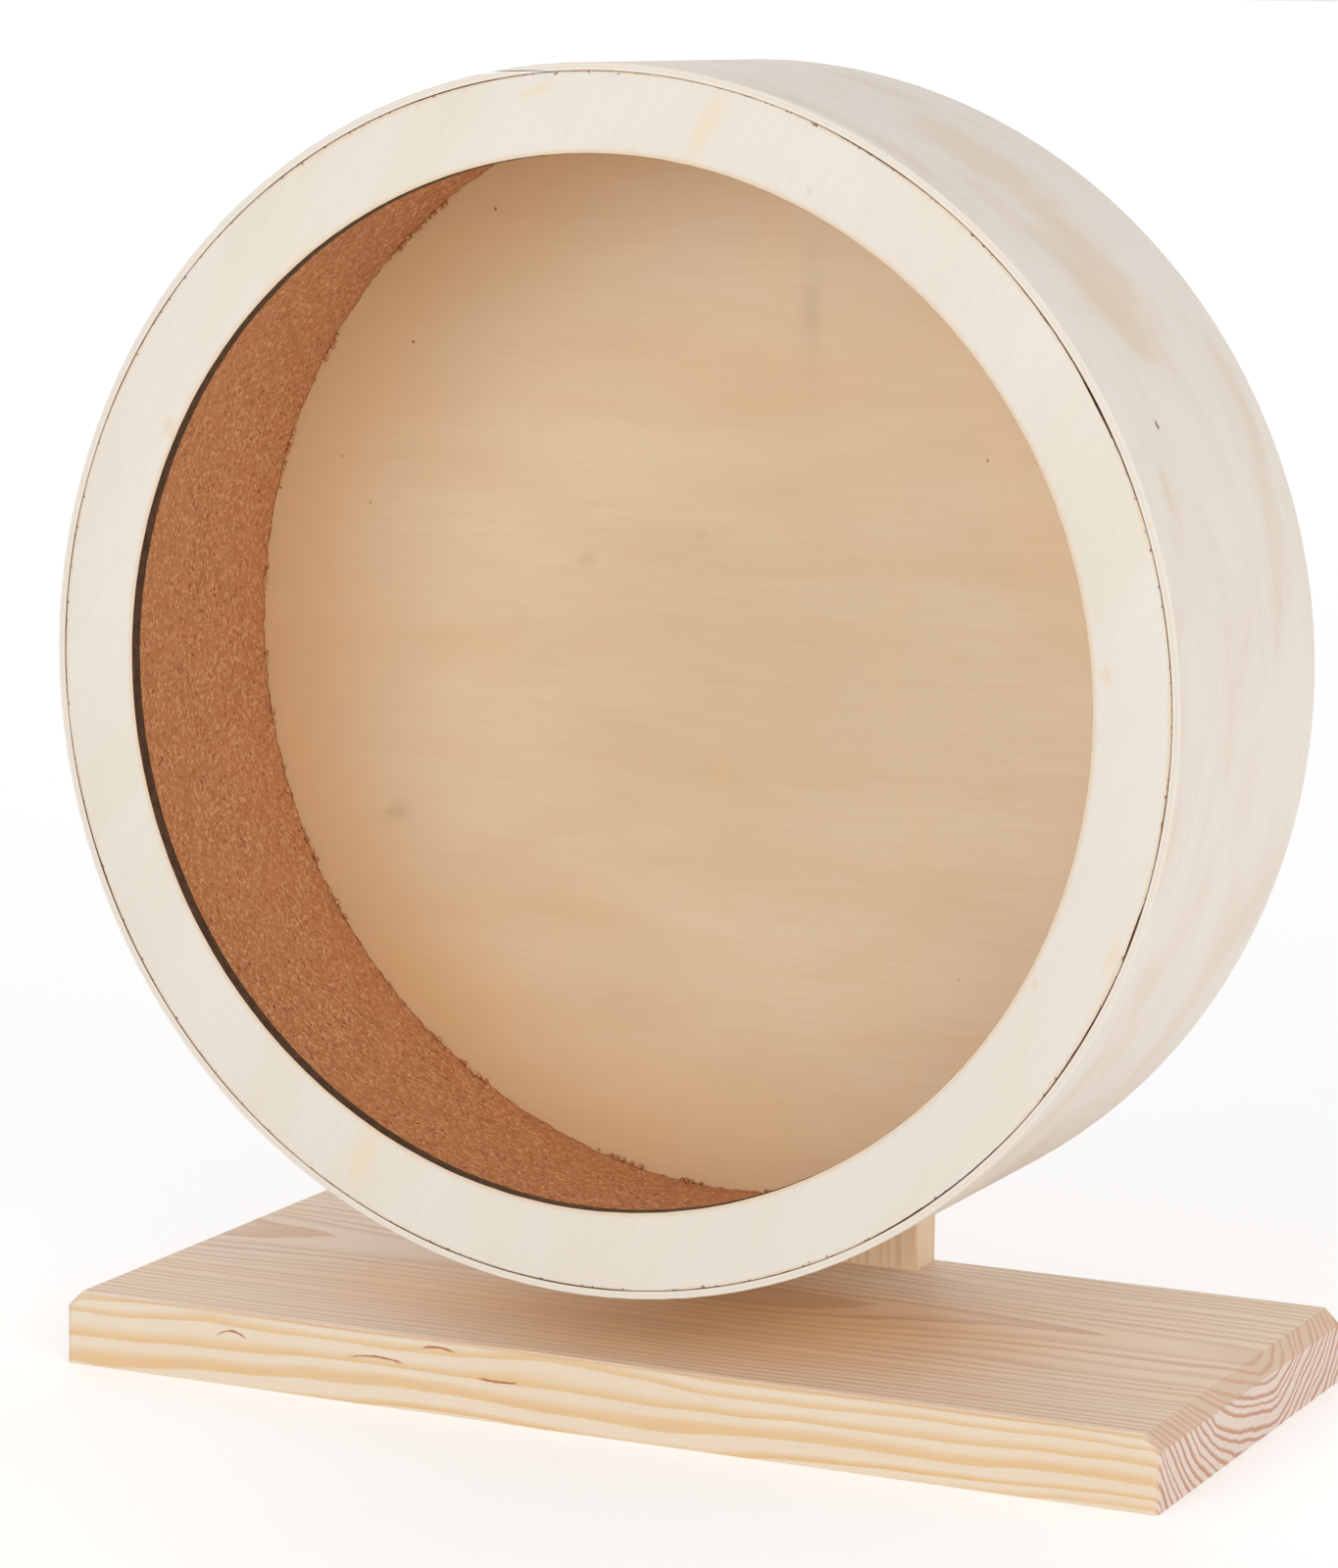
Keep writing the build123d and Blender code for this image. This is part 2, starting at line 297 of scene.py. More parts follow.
def finishPiece(piece, name, material, body, slot, *stands):
    piece.name = name
    piece.data.name = name
    piece.data.materials.clear()
    piece.data.materials.append(material)
    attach(piece, body)
    if stands:
        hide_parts(*stands)


def inEdit(work, kind="EDGE"):
    # opens edit mode on the active piece, lets work pick and shape, and closes it
    bpy.ops.object.mode_set(mode="EDIT")
    bpy.ops.mesh.select_mode(type=kind)
    bpy.ops.mesh.select_all(action="DESELECT")
    work(bmesh.from_edit_mesh(bpy.context.object.data))
    bpy.ops.object.mode_set(mode="OBJECT")


def choose(shape, items):
    for item in items:
        item.select = True
    shape.select_flush_mode()
    bmesh.update_edit_mesh(bpy.context.object.data)


def angleOf(point):
    return math.degrees(math.atan2(point.z - axleZ, point.x))


def addGroup(piece, name, weightOf):
    group = piece.vertex_groups.new(name=name)
    for corner in piece.data.vertices:
        weight = weightOf(corner.co)
        if weight > 0:
            group.add([corner.index], weight, "REPLACE")


def ruffle(piece, group, size, strength, middle, depth):
    # moves the group's corners along their normals by a clouded texture
    texture = bpy.data.textures.new(piece.name + group, "CLOUDS")
    texture.noise_scale = size
    texture.noise_depth = depth
    bump = piece.modifiers.new(group, "DISPLACE")
    bump.texture = texture
    bump.texture_coords = "LOCAL"
    bump.vertex_group = group
    bump.strength = strength
    bump.mid_level = middle
    bpy.ops.object.modifier_apply(modifier=bump.name)


def mendMesh(shape=None):
    # in edit mode: joins doubled corners and turns the faces outward
    bpy.ops.mesh.select_all(action="SELECT")
    bpy.ops.mesh.remove_doubles(threshold=0.00001)
    bpy.ops.mesh.normals_make_consistent(inside=False)


# Pine of the board and the post

board = {
    # the log: its middle and turn, the pith's y and z beside it in mm, how its rings lean, veer and wander
    "centre": (0, 0, 0), "turn": (0, 0, 0), "pith": (8.0, 47.0), "lean": 0.03, "veer": -0.012,
    "spacing": 2.0, "uneven": 1.5, "wander": 7.0, "ripple": 1.9, "lateStart": 0.3,
    # colours of the early and the late wood, on the side faces, the top and the ends; the top's pinker tone
    # against the front's yellower one is partly the wood's own faces, partly painted light from above
    "sideEarly": (0.68, 0.59, 0.468, 1), "sideLate": (0.63, 0.39, 0.15, 1),
    "topEarly": (0.84, 0.70, 0.565, 1), "topLate": (0.63, 0.40, 0.26, 1),
    "endEarly": (0.76, 0.635, 0.555, 1), "endLate": (0.56, 0.315, 0.215, 1),
    "chamfer": (0.69, 0.475, 0.32, 1), "warm": (1.0, 0.76, 0.53, 1), "resin": (0.36, 0.105, 0.04, 1),
    "fibre": (0.5, 0.3, 0.17, 1), "pore": (0.42, 0.26, 0.18, 1),
    # painted warm shade under the wheel, and its darkest part where the shadow is deepest: place, half size
    "heart": ((12, -8, 14), (105, 56, 12)), "deep": ((-2, -12, 14), (84, 40, 12)),
    # painted shade: the warm orange of the wheel's shadow on the top
    "deepTint": (1.0, 0.67, 0.37, 1),
    # resin lines on the front face: x, z, half length, bend in mm
    "resinLines": [(-73.6, 8.9, 3.6, 1.5), (-42.9, 8.4, 6.4, 0.9), (-30.3, 11.8, 4.0, 0.8),
                   (-18.0, 8.0, 4.6, -0.35)],
}
post = {
    "centre": (0, postLow.y, 0), "turn": (0, math.radians(90), 0), "pith": (3.0, 22.0), "lean": 0.02,
    "veer": 0.0, "spacing": 2.1, "uneven": 1.5, "wander": 6.0, "ripple": 0.8, "lateStart": 0.35,
    "sideEarly": (0.90, 0.71, 0.51, 1), "sideLate": (0.78, 0.53, 0.32, 1),
    "topEarly": (0.86, 0.70, 0.52, 1), "topLate": (0.66, 0.42, 0.24, 1),
    "endEarly": (0.73, 0.605, 0.52, 1), "endLate": (0.47, 0.265, 0.185, 1),
    "chamfer": (0.66, 0.49, 0.325, 1), "warm": (1.0, 0.80, 0.62, 1), "resin": (0.36, 0.105, 0.04, 1),
    "fibre": (0.5, 0.3, 0.17, 1), "pore": (0.42, 0.26, 0.18, 1),
    "heart": ((0, 5, 40), (40, 30, 60)), "deep": ((0, 5, 14), (40, 30, 12)),
    "deepTint": (0.87, 0.65, 0.43, 1),
    "resinLines": [],
}


def logRings(tree, log, look):
    # the growth rings of one log
    pithY, pithZ = look["pith"]
    return useGroup(tree, growthRings, {
        "Vector": log, "Pith Y": pithY, "Pith Z": pithZ, "Lean": look["lean"], "Veer": look["veer"],
        "Spacing": look["spacing"], "Uneven": look["uneven"], "Wander": look["wander"],
        "Ripple": look["ripple"], "Late Start": look["lateStart"]})


def pineEnd(tree, log, late, along, look):
    # end grain with pores, and the tinted chamfer beside it
    end = mixColor(tree, smooth(tree, late, 0.14, 0.62), look["endEarly"], look["endLate"])
    pores = noiseAt(tree, log, 2.4, 2.0)
    end = mixColor(tree, smooth(tree, pores, 0.55, 0.75, 0.0, 0.1), end, look["pore"])
    cut = calc(tree, "MULTIPLY", smooth(tree, along, 0.3, 0.6), smooth(tree, along, 0.8, 0.95, 0.62, 0.0))
    return mixColor(tree, cut, end, look["chamfer"])


def drawResin(tree, place, colour, look):
    # short resin lines on the front face, each one a flat arch of uneven width
    for x, z, length, bend in look["resinLines"]:
        spot = (x, boardLow.y * 1000, z)
        away = addNode(tree, "VectorMath", {0: place, 1: spot}, operation="SUBTRACT")
        gap = addNode(tree, "SeparateXYZ", {0: away})
        run = calc(tree, "DIVIDE", gap.outputs["X"], length)
        arch = calc(tree, "MULTIPLY", calc(tree, "SUBTRACT", 1.0, calc(tree, "MULTIPLY", run, run)), bend)
        off = calc(tree, "ABSOLUTE", calc(tree, "SUBTRACT", gap.outputs["Z"], arch))
        wide = calc(tree, "MULTIPLY_ADD", noiseAt(tree, place, 0.5, 2.0), 0.75, -0.07)
        line = smooth(tree, calc(tree, "DIVIDE", off, wide), 0.3, 1.0, 0.9, 0.0)
        ends = smooth(tree, calc(tree, "ABSOLUTE", run), 0.55, 1.0, 1.0, 0.0)
        face = smooth(tree, calc(tree, "ABSOLUTE", gap.outputs["Y"]), 1.0, 1.5, 1.0, 0.0)
        mask = calc(tree, "MULTIPLY", calc(tree, "MULTIPLY", line, ends), face)
        colour = mixColor(tree, mask, colour, look["resin"])
    return colour


def pineMaterial(name, look):
    made, tree, shader = newMaterial(name, 0.58, 0.35)
    place = placeInMm(tree, look["centre"])
    log = stretched(tree, place, (1, 1, 1), turn=look["turn"])
    ringsOut = logRings(tree, log, look)
    lines = useGroup(tree, fibre, {"Vector": log})
    normal = addNode(tree, "TexCoord").outputs["Normal"]
    faces = addNode(tree, "SeparateXYZ", {0: stretched(tree, normal, (1, 1, 1), turn=look["turn"])})
    along = calc(tree, "ABSOLUTE", faces.outputs["X"])
    endGrain = smooth(tree, along, 0.35, 0.75)
    flatTop = smooth(tree, calc(tree, "ABSOLUTE", faces.outputs["Z"]), 0.5, 0.85)
    depth = calc(tree, "MULTIPLY_ADD", ringsOut["Tone"], 0.45, 0.55)
    late = calc(tree, "MULTIPLY", ringsOut["Late"], depth)
    lateSide = calc(tree, "MULTIPLY", late, smooth(tree, lines["Lines"], 0.2, 0.75, 0.7, 1.0))
    front = mixColor(tree, lateSide, look["sideEarly"], look["sideLate"])
    top = mixColor(tree, lateSide, look["topEarly"], look["topLate"])
    # painted shade: a warm tint on the top where the wheel's shadow falls, joined with the cloud's random warm
    # drift
    heart = useGroup(tree, softMark, {"Vector": place, "Place": look["heart"][0], "Size": look["heart"][1],
                                      "Core": 0.05})
    drift = smooth(tree, lines["Cloud"], 0.42, 0.75, 0.0, 0.3)
    shadeAndDriftWarmth = calc(tree, "MAXIMUM", calc(tree, "MULTIPLY", heart["Mask"], 0.85), drift)
    top = mixColor(tree, shadeAndDriftWarmth, top, mixColor(tree, 1.0, top, look["warm"], "MULTIPLY"))
    # painted shade: the shadow's darkest part gets a stronger orange
    deep = useGroup(tree, softMark, {"Vector": place, "Place": look["deep"][0], "Size": look["deep"][1],
                                     "Core": 0.0})
    shadowTone = mixColor(tree, calc(tree, "MULTIPLY", lateSide, 0.55), look["deepTint"], look["topLate"])
    top = mixColor(tree, calc(tree, "MULTIPLY", deep["Mask"], 0.9), top, shadowTone)
    front = mixColor(tree, calc(tree, "MULTIPLY", drift, 0.3), front, look["sideLate"])
    # partly painted light: the top and the sides get different copies of the wood's colour
    side = mixColor(tree, flatTop, front, top)
    # along the eased edges between top and sides
    eased = calc(tree, "MULTIPLY", flatTop, calc(tree, "SUBTRACT", 1.0, flatTop))
    side = mixColor(tree, calc(tree, "MULTIPLY", eased, 2.4, clamp=True), side, look["sideLate"])
    side = mixColor(tree, smooth(tree, lines["Lines"], 0.35, 0.7, 0.1, 0.0), side, look["fibre"])
    colour = mixColor(tree, endGrain, side, pineEnd(tree, log, late, along, look))
    colour = drawResin(tree, place, colour, look)
    dots = useGroup(tree, specks, {"Vector": log, "Scale": 0.16, "Share": 0.05})
    colour = mixColor(tree, calc(tree, "MULTIPLY", dots["Mask"], 0.5), colour, look["resin"])
    feed(tree, shader.inputs["Base Color"], colour)
    rough = calc(tree, "MULTIPLY_ADD", late, -0.12, 0.62)
    rough = calc(tree, "ADD", rough, calc(tree, "MULTIPLY", endGrain, 0.18))
    feed(tree, shader.inputs["Roughness"], rough)
    height = calc(tree, "MULTIPLY", lines["Lines"], 0.8)
    height = calc(tree, "ADD", calc(tree, "MULTIPLY", late, 0.5), height)
    feed(tree, shader.inputs["Normal"], bumpFrom(tree, height, 0.5, 0.0001))
    return made


# Pale plywood of the front ring, cut by laser

ringPly = {
    "pale": (0.65, 0.615, 0.558, 1), "warm": (0.64, 0.59, 0.51, 1), "line": (0.58, 0.52, 0.44, 1),
    "streak": (0.68, 0.55, 0.37, 1), "halo": (0.62, 0.42, 0.22, 1), "seam": (0.30, 0.135, 0.08, 1),
    "char": (0.045, 0.022, 0.012, 1), "ash": (0.10, 0.05, 0.026, 1),
    # grain's turn in degrees, depth of the browned part of the cut edge in mm
    "grainTurn": 62.0, "jointDepth": 6.0,
    # widths of the scorch at the opening and at the rim: share of the noise, offset in mm
    "burnWidth": (1.5, 0.2), "rimBurnWidth": (2.6, -0.5), "burnStrength": 0.5, "rimBurnStrength": 0.45,
    # streaks: x, z, half length, half width, turn; marks: x, z, half size
    "streaks": [(21.0, 236.0, 9.5, 2.6, 62), (-45.4, 46.9, 9.0, 3.2, 70), (99.0, 97.0, 5.0, 1.6, 70),
                (-12.0, 241.0, 5.0, 1.4, 20)],
    "marks": [(40.3, 225.0, 0.8), (85.0, 91.0, 0.9), (-86.2, 178.4, 2.0), (96.5, 145.1, 1.6)],
    "streakStrength": 0.5, "markStrength": 0.3, "markDepth": 9.0,
    # shape, in mm: section, steps round the ring, eased edge
    "width": 14.3, "thickness": 3.0, "steps": 960, "ease": 0.16,
    # uneven joint with the band: least gap, slow and quick waviness; then that of opening and face
    "leastGap": 0.02, "slowGap": 0.08, "quickGap": 0.1, "openingWave": 0.05, "faceWave": 0.04,
    # where the joint opens: angle in degrees, half width in degrees, gap
    "gaps": [(29.7, 3.4, 0.2), (31.5, 13, 0.16), (-30, 8, 0.2), (-19, 3, 0.3), (-50, 11, 0.18),
             (60, 6, 0.08), (104, 8, 0.06), (205, 12, 0.08), (262, 16, 0.1), (-8, 5, 0.12), (10, 7, 0.1)],
}


def ringMaterial():
    made, tree, shader = newMaterial("ringPly", 0.6, 0.3)
    place = placeInMm(tree)
    wheelPlace = placeInMm(tree, (0, 0, axleZ))
    turned = stretched(tree, place, (1, 1, 1), turn=(0, math.radians(ringPly["grainTurn"]), 0))
    lines = useGroup(tree, fibre, {"Vector": turned})
    around = useGroup(tree, aroundAxle, {"Vector": wheelPlace})
    colour = mixColor(tree, smooth(tree, lines["Cloud"], 0.35, 0.75), ringPly["pale"], ringPly["warm"])
    colour = mixColor(tree, smooth(tree, lines["Lines"], 0.3, 0.55, 0.3, 0.0), colour, ringPly["line"])
    face = ringLow.y * 1000
    deep = ringPly["markDepth"]
    for x, z, length, width, turn in ringPly["streaks"]:
        colour = blot(tree, colour, place, (x, face, z), (length, deep, width), ringPly["streak"],
                      ringPly["streakStrength"], math.radians(turn))
    for x, z, size in ringPly["marks"]:
        colour = blot(tree, colour, place, (x, face, z), (size, deep, size * 1.4), ringPly["halo"],
                      ringPly["markStrength"])
    rim = ringRadius * 1000
    opening = rim - ringPly["width"]
    burnWidth = calc(tree, "MULTIPLY_ADD", around["Ragged"], *ringPly["burnWidth"])
    fromOpening = calc(tree, "SUBTRACT", around["Radius"], opening)
    burn = calc(tree, "DIVIDE", fromOpening, burnWidth)
    burn = smooth(tree, burn, 0.25, 1.2, ringPly["burnStrength"], 0.0)
    fromRim = calc(tree, "SUBTRACT", rim, around["Radius"])
    rimWidth = calc(tree, "MULTIPLY_ADD", around["Slow"], *ringPly["rimBurnWidth"])
    rimBurn = calc(tree, "DIVIDE", fromRim, rimWidth)
    rimBurn = smooth(tree, rimBurn, 0.2, 1.0, ringPly["rimBurnStrength"], 0.0)
    colour = mixColor(tree, calc(tree, "MAXIMUM", burn, rimBurn), colour, ringPly["halo"])
    charEdge = smooth(tree, calc(tree, "ABSOLUTE", facingOf(tree, "Y")), 0.55, 0.85, 1.0, 0.0)
    soot = mixColor(tree, smooth(tree, around["Ragged"], 0.35, 0.7), ringPly["char"], ringPly["ash"])
    # small charred pits along the rim
    pitWidth = smooth(tree, noiseAt(tree, place, 0.9, 2.0), 0.56, 0.72, 0.01, 0.75)
    pits = smooth(tree, calc(tree, "DIVIDE", fromRim, pitWidth), 0.6, 1.0, 0.85, 0.0)
    charEdge = calc(tree, "MAXIMUM", charEdge, pits)
    outer = calc(tree, "LESS_THAN", fromRim, ringPly["jointDepth"])
    browned = smooth(tree, around["Ragged"], 0.5, 0.6, 1.0, 0.0)
    soot = mixColor(tree, calc(tree, "MULTIPLY", outer, browned), soot, ringPly["seam"])
    colour = mixColor(tree, charEdge, colour, soot)
    feed(tree, shader.inputs["Base Color"], colour)
    feed(tree, shader.inputs["Roughness"], calc(tree, "MULTIPLY_ADD", lines["Lines"], 0.15, 0.55))
    feed(tree, shader.inputs["Normal"], bumpFrom(tree, lines["Lines"], 0.5, 0.0001))
    return made


def jointGap(spot, angle):
    # how far in mm the ring's rim stays inside the band at one place
    gap = ringPly["leastGap"]
    gap += ringPly["slowGap"] * max(0.0, noise.noise(spot * 0.11))
    gap += ringPly["quickGap"] * max(0.0, noise.noise(spot * 0.6))
    for at, half, wide in ringPly["gaps"]:
        apart = abs((angle - at + 180) % 360 - 180)
        gap += wide * max(0.0, 1 - (apart / half) ** 2)
    return gap


def buildRing(material):
    bpy.ops.object.select_all(action="DESELECT")
    width = ringPly["width"] * mm
    thick = ringPly["thickness"] * mm
    middle = (ringLow.y + ringHigh.y) / 2
    bpy.ops.mesh.primitive_plane_add(size=1, location=(0, middle, axleZ + ringRadius - width / 2),
                                     rotation=(0, math.pi / 2, 0))
    piece = bpy.context.object
    piece.name = "frontRing"
    piece.scale = (width, thick, 1)
    bpy.ops.object.transform_apply(location=True, rotation=True, scale=True)
    bpy.ops.object.mode_set(mode="EDIT")
    bpy.ops.mesh.select_all(action="SELECT")
    bpy.ops.mesh.bevel(offset=ringPly["ease"] * mm, segments=3, affect="VERTICES")
    bpy.ops.mesh.select_all(action="SELECT")
    bpy.ops.mesh.delete(type="ONLY_FACE")
    bpy.ops.mesh.select_all(action="SELECT")
    bpy.ops.mesh.spin(steps=ringPly["steps"], angle=math.tau, center=(0, 0, axleZ), axis=(0, 1, 0))
    mendMesh()
    bpy.ops.object.mode_set(mode="OBJECT")
    for corner in piece.data.vertices:
        point = corner.co
        away = math.hypot(point.x, point.z - axleZ)
        spot = Vector((point.x, 0, point.z)) * 1000
        if away > ringRadius - width / 2:
            shift = -jointGap(spot, angleOf(point)) * mm
        else:
            shift = ringPly["openingWave"] * mm * noise.noise(spot * 0.3)
        ratio = (away + shift) / away
        corner.co.x = point.x * ratio
        corner.co.z = axleZ + (point.z - axleZ) * ratio
        if point.y < middle:
            corner.co.y = point.y + ringPly["faceWave"] * mm * (1 + noise.noise(spot * 0.04))
    bpy.ops.object.shade_smooth_by_angle(angle=math.radians(35))
    finishPiece(piece, "frontRing", material, "wheel", "ring_ply", "front_ring")


# Bent strip of thin plywood

bandPly = {
    "pale": (0.775, 0.72, 0.65, 1), "warm": (0.72, 0.625, 0.52, 1), "line": (0.68, 0.60, 0.51, 1),
    "edge": (0.66, 0.615, 0.545, 1), "stain": (0.70, 0.555, 0.41, 1),
    # tan stains on the outside, strongest on the band's top, where they are partly stains, partly painted
    # shade: place, half length round the rim, half width, strength
    "stains": [((56.8, -13.7, 230.4), 28, 18, 0.5), ((80.4, -16.8, 211.1), 26, 18, 0.6),
               ((102.5, -40.0, 176.1), 6, 2.4, 0.5), ((30.0, 2.0, 243.0), 16, 8, 0.3),
               ((108.0, -12.0, 120.0), 18, 7, 0.2), ((92.0, -25.0, 76.0), 14, 6, 0.25)],
    "stainDepth": 9.0, "stainCore": 0.25,
    # the dark brown of the band's inner face is partly glue, partly painted shade of the joint gap
    "glue": (0.42, 0.27, 0.15, 1), "joint": (0.17, 0.085, 0.045, 1), "knot": (0.30, 0.14, 0.07, 1),
    "knotAt": (97.9, -32.9, 186.3), "knotSize": (1.6, 0.8, 1.2),
    # depths below the outside, in mm: the glue line between the plies, and the start of the ring's joint,
    # where the band's inner face turns dark brown, partly glue and partly painted shade of the gap
    "glueLine": 0.75, "jointFrom": 1.34, "jointTo": 1.48,
}


def bandMaterial():
    made, tree, shader = newMaterial("bandPly", 0.6, 0.3)
    place = placeInMm(tree)
    wheelPlace = placeInMm(tree, (0, 0, axleZ))
    around = useGroup(tree, aroundAxle, {"Vector": wheelPlace})
    streaks = noiseAt(tree, stretched(tree, wheelPlace, (0.02, 0.05, 0.02)), 1.0, 4.0, 0.55, 0.6)
    hair = noiseAt(tree, stretched(tree, wheelPlace, (0.12, 1.3, 0.12)), 1.0, 3.0, 0.6)
    colour = mixColor(tree, smooth(tree, streaks, 0.45, 0.75), bandPly["pale"], bandPly["warm"])
    colour = mixColor(tree, smooth(tree, hair, 0.3, 0.55, 0.2, 0.0), colour, bandPly["line"])
    # tan stains, and painted shade on the band's top
    for spot, length, width, strength in bandPly["stains"]:
        lie = math.atan2(spot[2] - axleZ * 1000, spot[0]) + math.pi / 2
        colour = blot(tree, colour, place, spot, (length, width, bandPly["stainDepth"]), bandPly["stain"],
                      strength, lie, bandPly["stainCore"])
    colour = blot(tree, colour, place, bandPly["knotAt"], bandPly["knotSize"], bandPly["knot"], 1.0)
    edge = calc(tree, "SUBTRACT", rimRadius * 1000, around["Radius"])
    fromGlue = calc(tree, "ABSOLUTE", calc(tree, "SUBTRACT", edge, bandPly["glueLine"]))
    plyLine = smooth(tree, fromGlue, 0.05, 0.22, 0.16, 0.0)
    cutEdge = mixColor(tree, plyLine, bandPly["edge"], bandPly["glue"])
    onEdge = smooth(tree, calc(tree, "ABSOLUTE", facingOf(tree, "Y")), 0.3, 0.9)
    colour = mixColor(tree, onEdge, colour, cutEdge)
    # the band's inner face, seen through the gaps at the ring's joint: partly glue, partly painted shade of
    # the gap
    joint = smooth(tree, edge, bandPly["jointFrom"], bandPly["jointTo"], 0.0, 0.95)
    broken = smooth(tree, around["Slow"], 0.3, 0.5, 0.35, 1.0)
    colour = mixColor(tree, calc(tree, "MULTIPLY", joint, broken), colour, bandPly["joint"])
    feed(tree, shader.inputs["Base Color"], colour)
    feed(tree, shader.inputs["Roughness"], calc(tree, "MULTIPLY_ADD", hair, 0.15, 0.55))
    feed(tree, shader.inputs["Normal"], bumpFrom(tree, hair, 0.4, 0.0001))
    return made


# Back panel, warmer and mottled; its warm tan is partly its own ply, partly painted warm bounce light from the
# cork

panelPly = {
    "base": (0.68, 0.525, 0.335, 1), "dark": (0.65, 0.465, 0.27, 1), "light": (0.71, 0.58, 0.39, 1),
    "toasted": (0.76, 0.52, 0.27, 1), "olive": (0.52, 0.40, 0.235, 1),
    "smudge": (0.36, 0.29, 0.22, 1), "speck": (0.20, 0.10, 0.05, 1),
    # painted light: tints that even out the light inside, darker at the middle and paler towards the rim
    "core": (0.925, 0.915, 0.92, 1), "outside": (1.16, 1.20, 1.27, 1),
    # distances from the axle in mm over which the painted shade of the left rim comes in, depth of the charred
    # rim
    "toastReach": (58.0, 92.0), "toastStrength": 0.85, "rimChar": (0.1, 0.5),
    "smudgeAt": (11.6, 199.0), "smudgeSize": (4.2, 20.0), "markDepth": 9.0,
    "specks": [(-71.9, 191.0, 0.45), (-54.4, 217.0, 0.45), (47.3, 174.0, 0.35)],
    "blots": [(-10.5, 157.2, 1.6, 1.0), (-34.3, 150.9, 2.6, 1.7), (-74.8, 99.2, 3.6, 2.4)],
}


def panelMaterial():
    made, tree, shader = newMaterial("panelPly", 0.6, 0.3)
    place = placeInMm(tree)
    wheelPlace = placeInMm(tree, (0, 0, axleZ))
    lines = useGroup(tree, fibre, {"Vector": place})
    around = useGroup(tree, aroundAxle, {"Vector": wheelPlace})
    wide = noiseAt(tree, stretched(tree, place, (0.012, 1, 0.035)), 1.0, 4.0, 0.6, 0.3)
    colour = mixColor(tree, smooth(tree, wide, 0.35, 0.7), panelPly["light"], panelPly["base"])
    colour = mixColor(tree, smooth(tree, lines["Cloud"], 0.45, 0.8, 0.0, 0.6), colour, panelPly["dark"])
    colour = mixColor(tree, smooth(tree, lines["Lines"], 0.3, 0.6, 0.35, 0.0), colour, panelPly["dark"])
    patchy = noiseAt(tree, stretched(tree, place, (0.05, 1, 0.022), (3, 0, 7)), 1.0, 4.0, 0.6, 0.5)
    colour = mixColor(tree, smooth(tree, patchy, 0.5, 0.75, 0.0, 0.25), colour, panelPly["toasted"])
    # inside the drum: painted shade, warmer and darker towards the rim at the left, and painted light, paler
    # outward at the right
    nearRim = calc(tree, "SUBTRACT", around["Radius"], calc(tree, "MULTIPLY", around["Slow"], 26.0))
    inside = smooth(tree, facingOf(tree, "Y"), -0.5, 0.2, 1.0, 0.25)
    sideways = addNode(tree, "SeparateXYZ", {0: place}).outputs["X"]
    leftward = smooth(tree, sideways, -50.0, 60.0, 1.0, 0.0)
    rightward = smooth(tree, sideways, -90.0, 70.0, 0.4, 1.0)
    # painted shade: the panel goes darker and more orange towards the rim at the left
    rimShade = smooth(tree, nearRim, *panelPly["toastReach"], 0.0, panelPly["toastStrength"])
    rimShade = calc(tree, "MULTIPLY", rimShade, calc(tree, "MULTIPLY", inside, leftward))
    colour = mixColor(tree, rimShade, colour, panelPly["toasted"])
    # painted light: darker at the middle, paler towards the rim, more so at the right
    paintedLightReach = calc(tree, "MULTIPLY", smooth(tree, around["Radius"], 12.0, 80.0), inside)
    paintedLightReach = calc(tree, "MULTIPLY", paintedLightReach, rightward)
    paintedLightTint = mixColor(tree, paintedLightReach, panelPly["core"], panelPly["outside"])
    colour = mixColor(tree, 1.0, colour, paintedLightTint, "MULTIPLY")
    face = panelLow.y * 1000
    deep = panelPly["markDepth"]
    x, z = panelPly["smudgeAt"]
    length, height = panelPly["smudgeSize"]
    colour = blot(tree, colour, place, (x, face, z), (length, deep, height), panelPly["smudge"], 0.3,
                  core=-0.5)
    for x, z, length, height in panelPly["blots"]:
        colour = blot(tree, colour, place, (x, face, z), (length * 1.3, deep, height * 1.3),
                      panelPly["olive"], 0.5, 0.4, 0.0)
    for x, z, size in panelPly["specks"]:
        colour = blot(tree, colour, place, (x, face, z), (size, deep, size), panelPly["speck"], 0.8,
                      core=0.4)
    dots = useGroup(tree, specks, {"Vector": place, "Scale": 0.16, "Share": 0.035})
    colour = mixColor(tree, calc(tree, "MULTIPLY", dots["Mask"], 0.3), colour, panelPly["speck"])
    fromRim = calc(tree, "SUBTRACT", ringRadius * 1000, around["Radius"])
    charred = smooth(tree, fromRim, *panelPly["rimChar"], 0.85, 0.0)
    colour = mixColor(tree, charred, colour, ringPly["char"])
    feed(tree, shader.inputs["Base Color"], colour)
    feed(tree, shader.inputs["Roughness"], calc(tree, "MULTIPLY_ADD", lines["Lines"], 0.15, 0.55))
    feed(tree, shader.inputs["Normal"], bumpFrom(tree, lines["Lines"], 0.5, 0.0001))
    return made


# Cork of pressed fine granules

